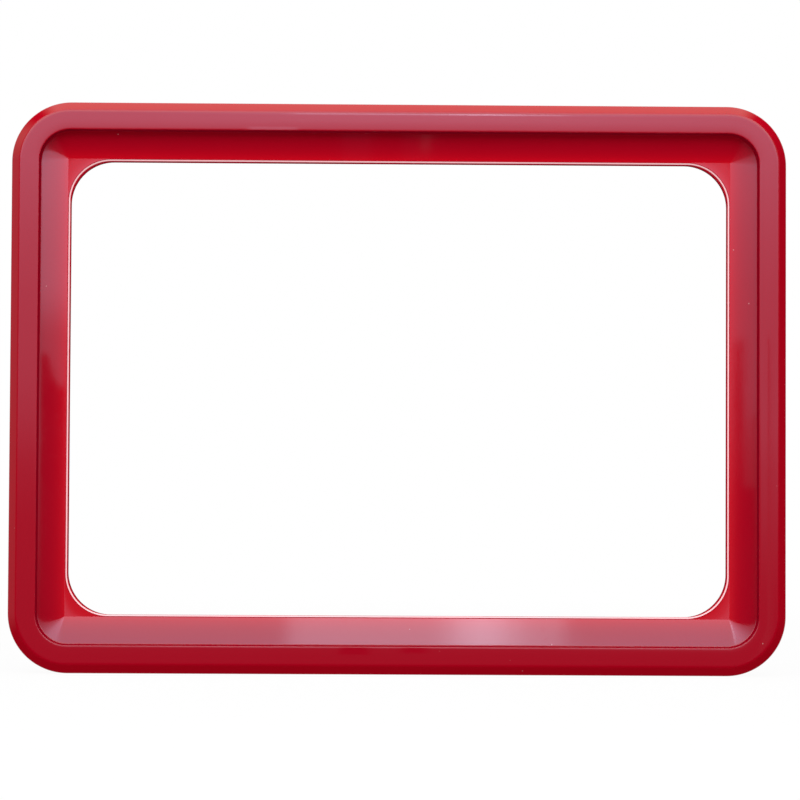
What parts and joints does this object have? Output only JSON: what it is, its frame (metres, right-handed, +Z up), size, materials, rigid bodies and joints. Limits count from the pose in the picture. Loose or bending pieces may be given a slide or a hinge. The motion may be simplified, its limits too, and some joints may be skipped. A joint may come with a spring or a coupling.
{
  "type": "sign frame",
  "caption": "Moulded plastic sign frame for a landscape A4 card, with rounded corners, a deep stepped border and a clear sleeve that slides in from above.",
  "frame": {"origin": "middle of the bottom edge, on the parting plane between the two shells", "axes": "+X along the frame to the viewer's right, +Z up, and the front of the frame looks towards -Y"},
  "size_m": [0.3254, 0.016, 0.2392],
  "materials": {
    "red_plastic": "glossy moulded polystyrene in solid red, with faint handling scuffs",
    "clear_film": "clear flexible film, glossy on both faces"
  },
  "bodies": {
    "frame": {"front_shell": "red_plastic", "rear_shell": "red_plastic"},
    "sleeve": {"clear_sleeve": "clear_film"}
  },
  "joints": [
    {"name": "sleeve_slide", "type": "slide", "parent": "frame", "child": "sleeve", "axis": [0, 0, 1], "range_m": [0, 0.227]}
  ]
}
